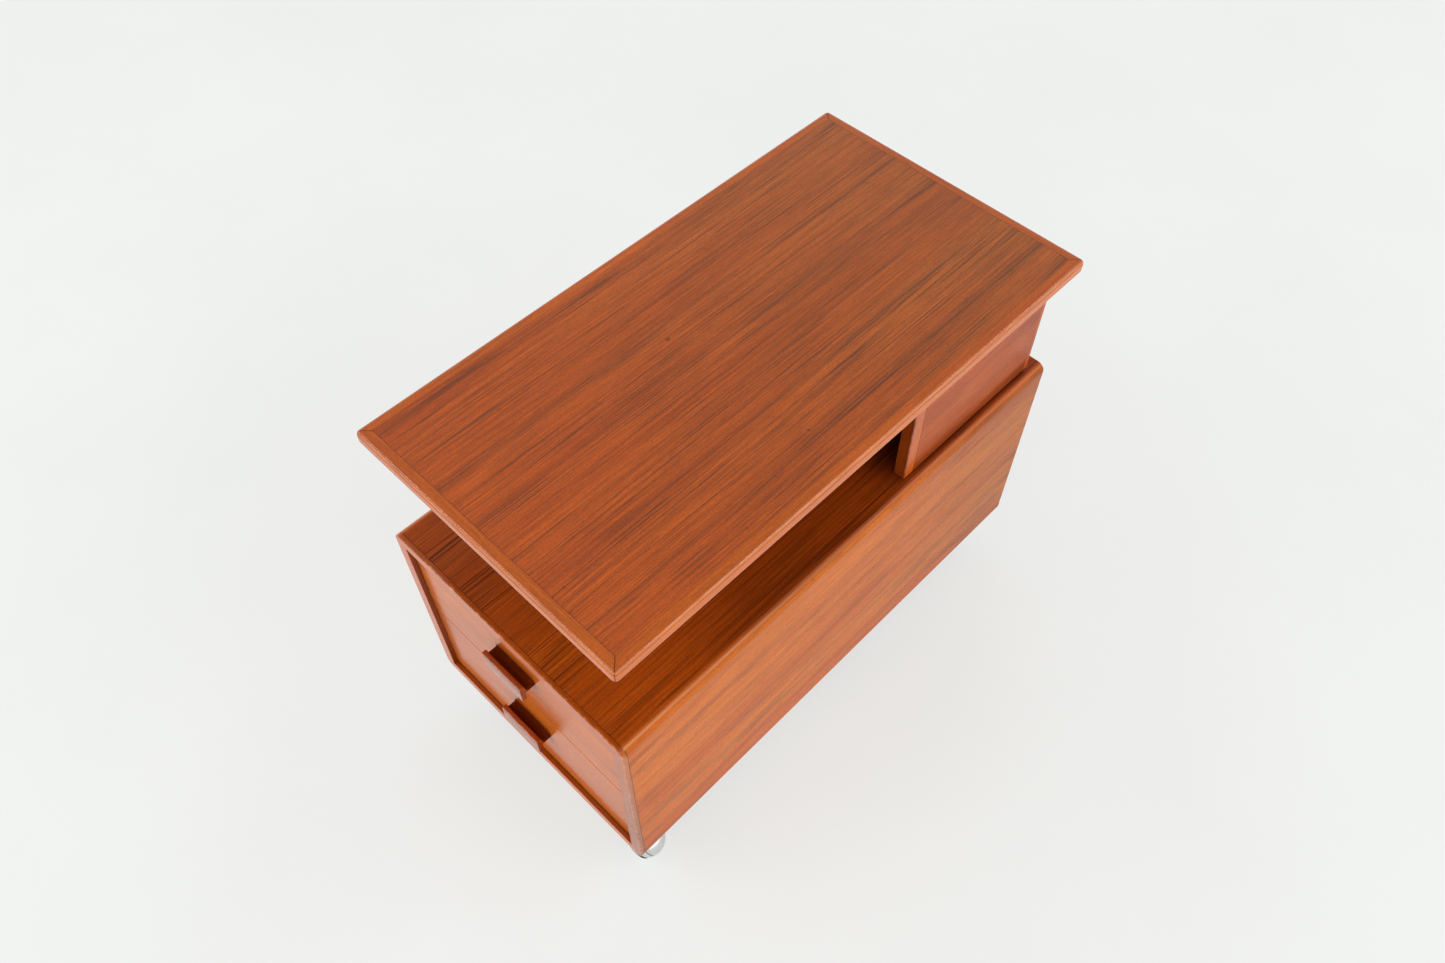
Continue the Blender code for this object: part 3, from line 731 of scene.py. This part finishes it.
def case_sections(wall, front, seam, back):
    """The veneered panels' and the lippings' sections as loops of (inset, y)."""
    edge, inner = CASE_EDGE_ROUND, CASE_INNER_ROUND
    lipping = [(0, seam)]
    lipping += arc((edge, front + edge), edge, 180, 270, 6)
    lipping += arc((wall - inner, front + inner), inner, -90, 0, 4)
    lipping.append((wall, seam))
    start = seam + JOINT
    panel = [(0, start), (wall, start), (wall, back)]
    panel += arc((edge, back - edge), edge, 90, 180, 6)
    return panel, lipping


def case_veneer_marks(high, seam):
    """Each side's marks: painted shade towards the back, painted shade under the riser and the table top,
    and plain wood, painted light and a painted highlight line on the long rounded edges.
    """
    glue = seam_line(seam + JOINT, 0.85)
    # Painted shade, darker towards the back of the sides.
    light_towards_back = shade("y", 0.05, 0.38, 0.0, 1.0, CASE_BACK_SHADE)
    riser_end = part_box("riser_right_side")[1]
    upper = (shade("y", -0.36, -0.02, 0.15, 1.0, UNDER_TOP_SHADE),
             shade_both("x", high.x, 0.011, 0.004, ROUND_WOOD, 0.6, "MIX"),
             shade_both("x", high.x, 0.015, 0.0035, ROUND_LIGHT),
             recess(riser_end.x + 0.006, 0.06, 0.17, riser_end.y),
             highlight_line(high.z, 0.0020, 0.45, -0.30, 0.0))
    return {"top": (glue, *upper), "right": (glue, light_towards_back), "bottom": (glue,), "left": (glue, light_towards_back)}


def case_lipping_marks(low, high, wall, back):
    """Each side's marks: tints, wear and knocks along the edges, and painted shade in the inner corners."""
    before = {"top": [shade("z", high.z - 0.003, high.z - 0.0006, 0.0, 1.0, UPPER_LIPPING_TINT)],
              "right": [shade("z", low.z + 0.05, high.z, 1.0, 0.35, RIGHT_LIPPING_FOOT),
                        shade("x", high.x - 0.0045, high.x - 0.0012, 0.3, 1.0, RIGHT_LIPPING_CORNER)]}
    after = {"left": [shade("x", low.x + wall - 0.0006, low.x + wall, 0.0, 0.9, SHADE_TINT)],
             "bottom": [shade("z", low.z + wall - 0.0006, low.z + wall, 0.0, 0.6, SHADE_TINT)]}
    end = Vector((high.x, back, high.z))
    marks = {}
    for label, look in CASE_SIDES.items():
        ways = look["ways"]
        # The case lippings' edge wear is strong, and also stands for a painted highlight along their front
        # arrises.
        edge_marks = [edge_wear(low, end, ways, 0.0035, 0.75), dings(low, end, ways)]
        marks[label] = before.get(label, []) + edge_marks + after.get(label, [])
    return marks


def make_case():
    """Four mitred panels with their front lippings, and the back panel."""
    low, high = box_of(*[f"case_{label}_lipping" for label in CASE_SIDES])
    panel_low, panel_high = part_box("case_top_panel")
    middle = (low + high) / 2
    wall, back = high.z - panel_low.z, panel_high.y
    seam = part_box("case_top_lipping")[1].y
    panel, lipping = case_sections(wall, low.y, seam, back)
    veneer_marks = case_veneer_marks(high, seam)
    lipping_marks = case_lipping_marks(low, high, wall, back)
    for side, (label, look) in enumerate(CASE_SIDES.items()):
        veneer = teak(f"case_{label}_teak", look["cut"], "Y", look["seed"], look["roughness"], look["level"],
                      look["across"], marks=veneer_marks[label])
        solid = teak(f"case_{label}_solid", "edge", "X" if side % 2 == 0 else "Z", 21 + side, 0.22, 0.32,
                     relief=0.000006, marks=lipping_marks[label])
        for suffix, profile, finish, slot in (("panel", panel, veneer, "teak_veneer"),
                                              ("lipping", lipping, solid, "teak_solid")):
            form = strip(high.x - low.x, high.z - low.z, CASE_CORNER_RADIUS, profile, side,
                         lambda u, v, w: (u + middle.x, w, v + middle.z))
            name = f"case_{label}_{suffix}"
            weigh_normals(piece(f"{name}_fine", form, finish, "table", slot, name))
    dress("case_back_panel", teak("back_veneer", "riser", "X", 31, across="depth"), 0.0004)


def make_riser_side(label, seed, inner_face_shade):
    """One side with its lipping and cleat; inside is the painted shade on the face in the open space."""
    low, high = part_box(f"riser_{label}_side")
    marks = (seam_line(low.y, 0.5), inner_face_shade,
             shade("z", low.z, low.z + 0.05, 1.0, 0.0, RISER_FOOT_SHADE),
             shade("y", 0.2, 0.36, 0.0, 1.0, RISER_BACK_SHADE))
    veneer = teak(f"riser_{label}_teak", "riser", "Y", 41 + seed, 0.36, 0.16, "depth", marks=marks,
                  dull=inner_face_shade)
    dress(f"riser_{label}_side", veneer)
    name = f"riser_{label}_lipping"
    low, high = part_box(name)
    rounding = RISER_EDGE_ROUND
    outline = arc((low.x + rounding, low.y + rounding), rounding, 180, 270, 6)
    outline += arc((high.x - rounding, low.y + rounding), rounding, 270, 360, 6)
    outline += [(high.x, high.y), (low.x, high.y)]
    form = prism(outline, low.z, high.z, lambda x, y, z: (x, y, z))
    mirrored = Vector((high.x, 2 * high.y - low.y, high.z))
    marks = (shade("y", low.y, low.y + 0.003, 1.0, 0.0, RISER_FRONT_SHADE), inner_face_shade,
             edge_wear(low, mirrored, "xy", 0.002, 0.3))
    solid = teak(f"riser_{label}_solid", "edge", "Z", 45 + seed, 0.30, 0.35, relief=0.000006, marks=marks)
    weigh_normals(piece(f"{name}_fine", form, solid, "table", "teak_solid", name))
    dress(f"riser_{label}_cleat", OAK["Y"], 0.0008)


def make_riser():
    """Both sides and the back; a skin of each inner face gets painted shade."""
    left_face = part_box("riser_left_side")[1].x
    right_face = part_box("riser_right_side")[0].x
    back_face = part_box("riser_back")[0].y
    skin = 0.0005
    make_riser_side("left", 0, shade("x", left_face - skin, left_face, 0.0, 1.0, INTERIOR_SHADE))
    make_riser_side("right", 1, shade("x", right_face, right_face + skin, 1.0, 0.0, INTERIOR_SHADE))
    inner_face_shade = shade("y", back_face, back_face + skin, 1.0, 0.0, INTERIOR_SHADE)
    veneer = teak("riser_back_teak", "riser", "X", 49, 0.36, 0.3, "depth", marks=(inner_face_shade,), dull=inner_face_shade)
    dress("riser_back", veneer, 0.0006)


def pull_outline():
    """The pull's end profile as (distance out of the drawer front, height over the web's underside)."""
    lip_back = PULL_DEPTH - PULL_LIP
    root = PULL_ROOT - PULL_WEB
    front, back = PULL_FRONT_ROUND, PULL_BACK_ROUND
    outline = [(PULL_SEAT, 0), (lip_back, 0)]
    outline += arc((lip_back + back, -PULL_DOWN + back), back, 180, 270, 8)
    outline += arc((PULL_DEPTH - front, -PULL_DOWN + front), front, 270, 360, 5)
    outline += arc((PULL_DEPTH - front, PULL_UP - front), front, 0, 90, 5)
    outline += arc((lip_back + back, PULL_UP - back), back, 90, 180, 8)
    outline += arc((lip_back - PULL_FILLET, PULL_WEB + PULL_FILLET), PULL_FILLET, 0, -90, 10)
    outline += arc((PULL_SEAT + root, PULL_WEB + root), root, 270, 180, 8)
    return outline


def make_drawer(label, seed):
    """The drawer's box gets its woods, and its pull is remade with finer hollows."""
    body = f"{label}_drawer"
    low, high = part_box(f"{body}_pull")
    # Painted shade and reflection of the pull on the drawer front.
    front_shadow = pull_shadow(low, high, 0.014, 0.55)
    veneer = teak(f"{label}_front_teak", "front", "X", seed, 0.18, 0.13, "depth", 0.000010, (front_shadow,))
    dress(f"{body}_front", veneer, 0.0005)
    for kind, axis in (("left_side", "Y"), ("right_side", "Y"), ("back", "X")):
        dress(f"{body}_{kind}", OAK[axis], 0.0006)
    dress(f"{body}_bottom", PLY)
    web = high.z - PULL_UP
    face = low.y + PULL_DEPTH
    form = prism(pull_outline(), low.x, high.x, lambda out, z, x: (x, face - out, z + web))
    lip_back = low.y + PULL_LIP
    # Painted shade in the pull's hollow behind its lip, which also loses its shine.
    hollow_shade = shade("y", lip_back, lip_back + 0.0025, 0.0, 1.0, SHADE_TINT)
    solid = teak(f"{label}_pull_teak", "pull", "X", seed + 3, 0.16, 0.5, relief=0.000003,
                 marks=(edge_wear(low, high, "yz", 0.002, 0.4), hollow_shade), dull=hollow_shade)
    made = piece(f"{body}_pull_fine", form, solid, body, "teak_solid", f"{body}_pull")
    soften(made, 0.0005, segments=3)


# ----------------------------------------------------------------- casters

def dome(radius, start, end, steps):
    """Points of a turned profile on a sphere, by the angle from its pole; no steps give one point."""
    angles = [start + (end - start) * i / max(steps, 1) for i in range(steps + 1)]
    return [(radius * math.sin(a), radius * math.cos(a)) for a in angles]


def make_caster(name, chrome, steel, tyre):
    """Two half balls on a tilted axle, the wheel's tyre, and the stem that the hood swivels on."""
    joints = {joint["name"]: joint for joint in frame["joints"]}
    stand = Vector(joints[f"{name}_swivel"]["pos_m"])
    roll = joints[f"{name}_roll"]
    centre = Vector(roll["pos_m"])
    pole = -Vector(roll["axis"]).normalized()
    if pole.z > 0:
        pole = -pole
    matrix = Matrix.Translation(centre) @ pole.to_track_quat("Z", "Y").to_matrix().to_4x4()
    rim = math.acos(SEAM_HALF / BALL_RADIUS)
    inner = BALL_RADIUS - SHELL
    inner_rim = math.acos(SEAM_HALF / inner)
    seat_low, seat_high = TREAD_ANGLE - TREAD_HALF, TREAD_ANGLE + TREAD_HALF
    tyre_low, tyre_high = seat_low + TREAD_CLEAR, seat_high - TREAD_CLEAR

    profile = dome(BALL_RADIUS, 0, seat_low, 20)
    profile += dome(TREAD_SEAT, seat_low, seat_high, 3)
    profile += dome(BALL_RADIUS, seat_high, rim, 8)
    profile += dome(inner, inner_rim, 0, 20)
    form = lathe(profile, matrix)
    piece(f"{name}_wheel_dome", form, chrome, f"{name}_wheel", "chrome", f"{name}_wheel")

    profile = dome(BALL_RADIUS + TREAD_PROUD, tyre_low, tyre_low, 0)
    profile += dome(TREAD_RADIUS, TREAD_ANGLE - 0.6 * TREAD_HALF, TREAD_ANGLE + 0.6 * TREAD_HALF, 6)
    profile += dome(BALL_RADIUS + TREAD_PROUD, tyre_high, tyre_high, 0)
    profile += dome(TREAD_SEAT + TREAD_GAP, tyre_high, tyre_low, 2)
    form = lathe(profile, matrix)
    piece(f"{name}_tyre", form, tyre, f"{name}_wheel", "rubber", f"{name}_tread")

    profile = dome(BALL_RADIUS, math.pi - rim, math.pi, 24)
    profile += dome(inner, math.pi, math.pi - inner_rim, 20)
    form = lathe(profile, matrix)
    piece(f"{name}_hood_shell", form, chrome, name, "chrome", f"{name}_hood")

    plate_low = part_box(f"{name}_plate")[0].z
    foot, shoulder = centre.z + COLLAR_FOOT, plate_low - COLLAR_GAP
    head = plate_low + STEM_REACH
    post = [(0, foot), (COLLAR_RADIUS - COLLAR_TAPER, foot), (COLLAR_RADIUS, foot + COLLAR_FLARE),
            (COLLAR_RADIUS, shoulder - COLLAR_TAPER), (COLLAR_RADIUS - COLLAR_CHAMFER, shoulder),
            (STEM_RADIUS, shoulder), (STEM_RADIUS, head), (0, head)]
    form = lathe(post, Matrix.Translation((stand.x, stand.y, 0)), STEM_SEGMENTS)
    soften(piece(f"{name}_stem", form, chrome, name, "chrome"), 0.0003, angle=40)
    dress(f"{name}_axle", steel)
    dress(f"{name}_plate", steel, 0.0003)


# ------------------------------------------------------- floor, light, camera

def make_stage():
    """The painted floor."""
    form = bmesh.new()
    bmesh.ops.create_grid(form, x_segments=1, y_segments=1, size=FLOOR_HALF)
    mesh = bpy.data.meshes.new("floor")
    form.to_mesh(mesh)
    form.free()
    mesh.materials.append(painted_floor())
    floor = bpy.data.objects.new("floor", mesh)
    floor.location.z = -FLOOR_DROP
    bpy.context.scene.collection.objects.link(floor)


def make_world():
    """Light from all round, brighter from below, as from a sunlit floor."""
    world = bpy.data.worlds.new("studio")
    world.use_nodes = True
    tree = world.node_tree
    background = tree.nodes["Background"]
    coordinates = tree.nodes.new("ShaderNodeTexCoord")
    split = tree.nodes.new("ShaderNodeSeparateXYZ")
    ramp = tree.nodes.new("ShaderNodeValToRGB")
    tree.links.new(coordinates.outputs["Generated"], split.inputs[0])
    tree.links.new(split.outputs["Z"], ramp.inputs[0])
    tree.links.new(ramp.outputs[0], background.inputs["Color"])
    ramp.color_ramp.elements.new(0.5)
    for stop, (place, colour) in zip(ramp.color_ramp.elements, SKY):
        stop.position = place
        stop.color = (*colour, 1.0)
    background.inputs["Strength"].default_value = SKY_STRENGTH
    bpy.context.scene.world = world


def make_light(name, place, aim, size, power):
    """An area light that faces its aim."""
    data = bpy.data.lights.new(name, "AREA")
    data.shape = "RECTANGLE"
    data.size, data.size_y = size
    data.energy = power
    lamp = bpy.data.objects.new(name, data)
    lamp.location = place
    lamp.rotation_mode = "QUATERNION"
    lamp.rotation_quaternion = (Vector(aim) - Vector(place)).to_track_quat("-Z", "Y")
    bpy.context.scene.collection.objects.link(lamp)


def make_camera():
    """The photo's camera, from the angles that it looks along."""
    back = Vector((math.sin(CAMERA_AZIMUTH) * math.cos(CAMERA_ELEVATION),
                   -math.cos(CAMERA_AZIMUTH) * math.cos(CAMERA_ELEVATION),
                   math.sin(CAMERA_ELEVATION)))
    right = Vector((math.cos(CAMERA_AZIMUTH), math.sin(CAMERA_AZIMUTH), 0))
    turn = Matrix((right, back.cross(right), back)).transposed().to_4x4()
    data = bpy.data.cameras.new("camera")
    data.lens = CAMERA_LENS
    data.sensor_width = CAMERA_SENSOR
    camera = bpy.data.objects.new("camera", data)
    camera.matrix_world = Matrix.Translation(CAMERA_PLACE) @ turn @ Matrix.Rotation(CAMERA_ROLL, 4, "Z")
    bpy.context.scene.collection.objects.link(camera)
    bpy.context.scene.camera = camera


OAK = {axis: pale_wood(f"oak_{axis}", (0.58, 0.40, 0.21), (0.42, 0.26, 0.12), axis, 5) for axis in "XY"}
PLY = pale_wood("birch_ply", (0.66, 0.50, 0.31), (0.56, 0.40, 0.23), "X", 9, 0.02)

bpy.context.scene.view_settings.view_transform = "Standard"
make_camera()
make_stage()
make_world()
for light_name, light in LIGHTS.items():
    make_light(light_name, **light)
make_top()
make_case()
make_riser()
for drawer_label, drawer_seed in (("upper", 61), ("lower", 71)):
    make_drawer(drawer_label, drawer_seed)
for runner in [name for name in NODES if name.startswith("runner_")]:
    dress(runner, OAK["Y"], 0.0006)
CHROME = metal("chrome_plate", (0.66, 0.67, 0.66), 0.09, 0.12, 0.000002)
STEEL = metal("zinc_plate", (0.58, 0.58, 0.57), 0.28, 0.15, 0.000006)
TYRE = rubber("tyre_rubber")
for corner_label in ("front_right", "front_left", "back_right", "back_left"):
    make_caster(f"caster_{corner_label}", CHROME, STEEL, TYRE)
